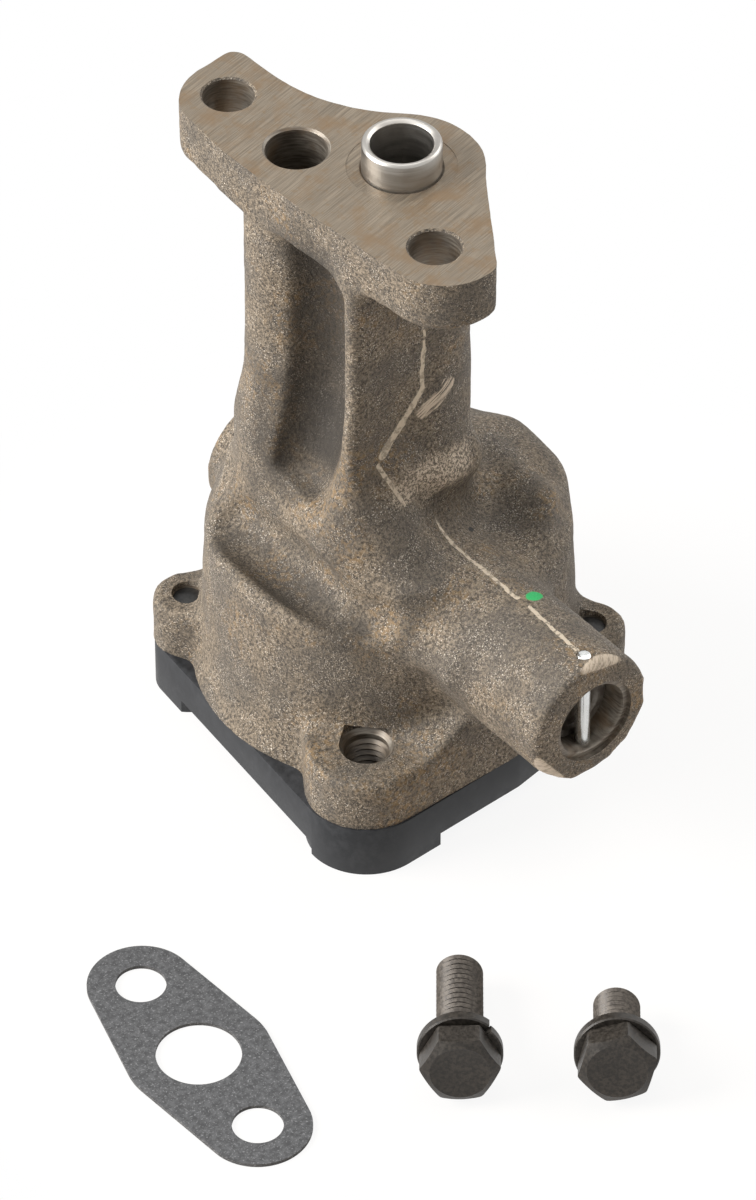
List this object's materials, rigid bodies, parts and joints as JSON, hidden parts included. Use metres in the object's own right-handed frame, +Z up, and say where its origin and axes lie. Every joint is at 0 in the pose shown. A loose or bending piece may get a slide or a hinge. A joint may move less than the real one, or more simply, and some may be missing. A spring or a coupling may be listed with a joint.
{
  "type": "gerotor engine oil pump",
  "caption": "Cast iron gerotor engine oil pump with a mounting flange, relief valve and cover plate, with its pickup gasket and two pickup bolts laid beside it.",
  "frame": {"origin": "the drive shaft's axis on the mounting face at the top of the flange", "axes": "+Z up along the drive shaft, out of the mounting face; the relief tube's mouth faces -Y; +X to the right of the pump seen from the tube's mouth. The pump stands on its cover plate's pads at Z -0.1422 m, and the loose gasket and bolts lie on the same ground."},
  "size_m": [0.1538, 0.1778, 0.149],
  "materials": {
    "cast_body": "rough",
    "cover": "matte",
    "black_oxide": "satin",
    "turned_steel": "bright",
    "zinc_pin": "bright",
    "plug_steel": "satin",
    "fibre": "matte",
    "rotor_iron": "ground",
    "spring_steel": "satin"
  },
  "bodies": {
    "housing": {"pump_body": "cast_body", "cover_plate": "cover", "cover_screws": "black_oxide", "locating_sleeve": "turned_steel", "relief_pin": "zinc_pin", "relief_plug": "plug_steel", "pickup_gasket": "fibre", "long_bolt": "black_oxide", "long_bolt_washer": "black_oxide", "short_bolt": "black_oxide", "short_bolt_washer": "black_oxide", "relief_spring": "spring_steel"},
    "drive": {"drive_shaft": "turned_steel", "inner_rotor": "rotor_iron", "rotor_pin": "turned_steel"},
    "ring": {"outer_rotor": "rotor_iron"},
    "piston": {"relief_piston": "turned_steel"}
  },
  "joints": [
    {"name": "drive_spin", "type": "hinge", "parent": "housing", "child": "drive", "pos_m": [0, 0, -0.1203], "axis": [0, 0, 1], "continuous": true},
    {"name": "ring_spin", "type": "hinge", "parent": "housing", "child": "ring", "pos_m": [-0.0019, 0.00162, -0.1203], "axis": [0, 0, 1], "continuous": true},
    {"name": "relief_slide", "type": "slide", "parent": "housing", "child": "piston", "axis": [0, -1, 0], "range_m": [0, 0.009], "stiffness_N_per_m": 1500, "springref_m": -0.004, "deforming": ["relief_spring"]}
  ],
  "couplings": [
    {"joint": "drive_spin", "follows": "ring_spin", "ratio": 1.25}
  ]
}
